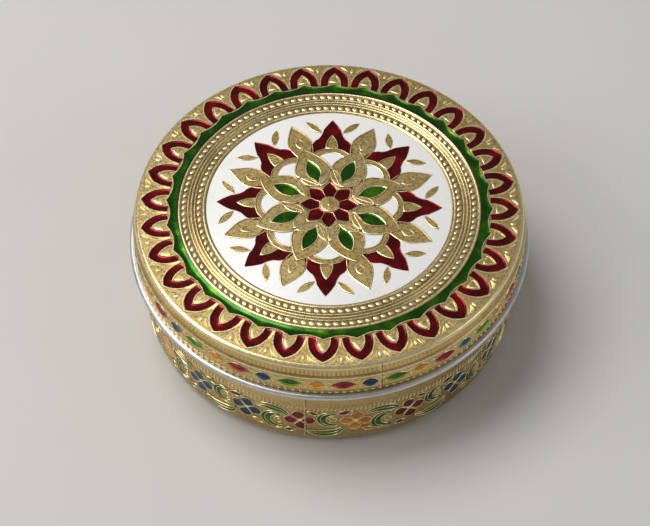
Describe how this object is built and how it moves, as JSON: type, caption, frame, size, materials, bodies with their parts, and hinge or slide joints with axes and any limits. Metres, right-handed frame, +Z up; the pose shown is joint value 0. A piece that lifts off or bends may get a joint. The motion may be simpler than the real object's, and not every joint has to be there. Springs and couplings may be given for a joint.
{
  "type": "round sweet box",
  "caption": "Round lidded sweet box with a lift-off cap, rolled rim bead, embossed gold foil, an enamelled flower wheel with a pointed arch border, and a vine round its wall.",
  "frame": {"origin": "centre of the flat underside, on the surface that the box stands on", "axes": "+Z up along the box's axis; -Y is the front, the side that the picture shows"},
  "size_m": [0.2, 0.2, 0.0694],
  "materials": {
    "steel": "bright rolled sheet, polished on the rim bead",
    "gold_foil": "thin embossed gold-coloured foil, glued on, satin with bright ridges",
    "white_enamel": "opaque glossy white lacquer",
    "red_enamel": "translucent glossy dark red lacquer over gold",
    "green_enamel": "translucent glossy green lacquer over gold",
    "blue_enamel": "translucent glossy blue lacquer over gold",
    "amber_enamel": "translucent glossy amber lacquer over gold"
  },
  "bodies": {
    "box": {"body_shell": "steel", "body_wall_foil": "gold_foil", "vine_green_enamel": "green_enamel", "vine_red_enamel": "red_enamel", "vine_blue_enamel": "blue_enamel", "vine_amber_enamel": "amber_enamel"},
    "lid": {"lid_shell": "steel", "lid_top_foil": "gold_foil", "lid_skirt_foil": "gold_foil", "white_ground_enamel": "white_enamel", "red_star_enamel": "red_enamel", "green_leaf_enamel": "green_enamel", "red_flower_enamel": "red_enamel", "green_ring_enamel": "green_enamel", "red_arch_enamel": "red_enamel", "skirt_green_enamel": "green_enamel", "skirt_amber_enamel": "amber_enamel", "skirt_red_enamel": "red_enamel", "skirt_blue_enamel": "blue_enamel"}
  },
  "joints": [
    {"name": "lid_lift", "type": "slide", "parent": "box", "child": "lid", "axis": [0, 0, 1], "range_m": [0, 0.1]}
  ]
}
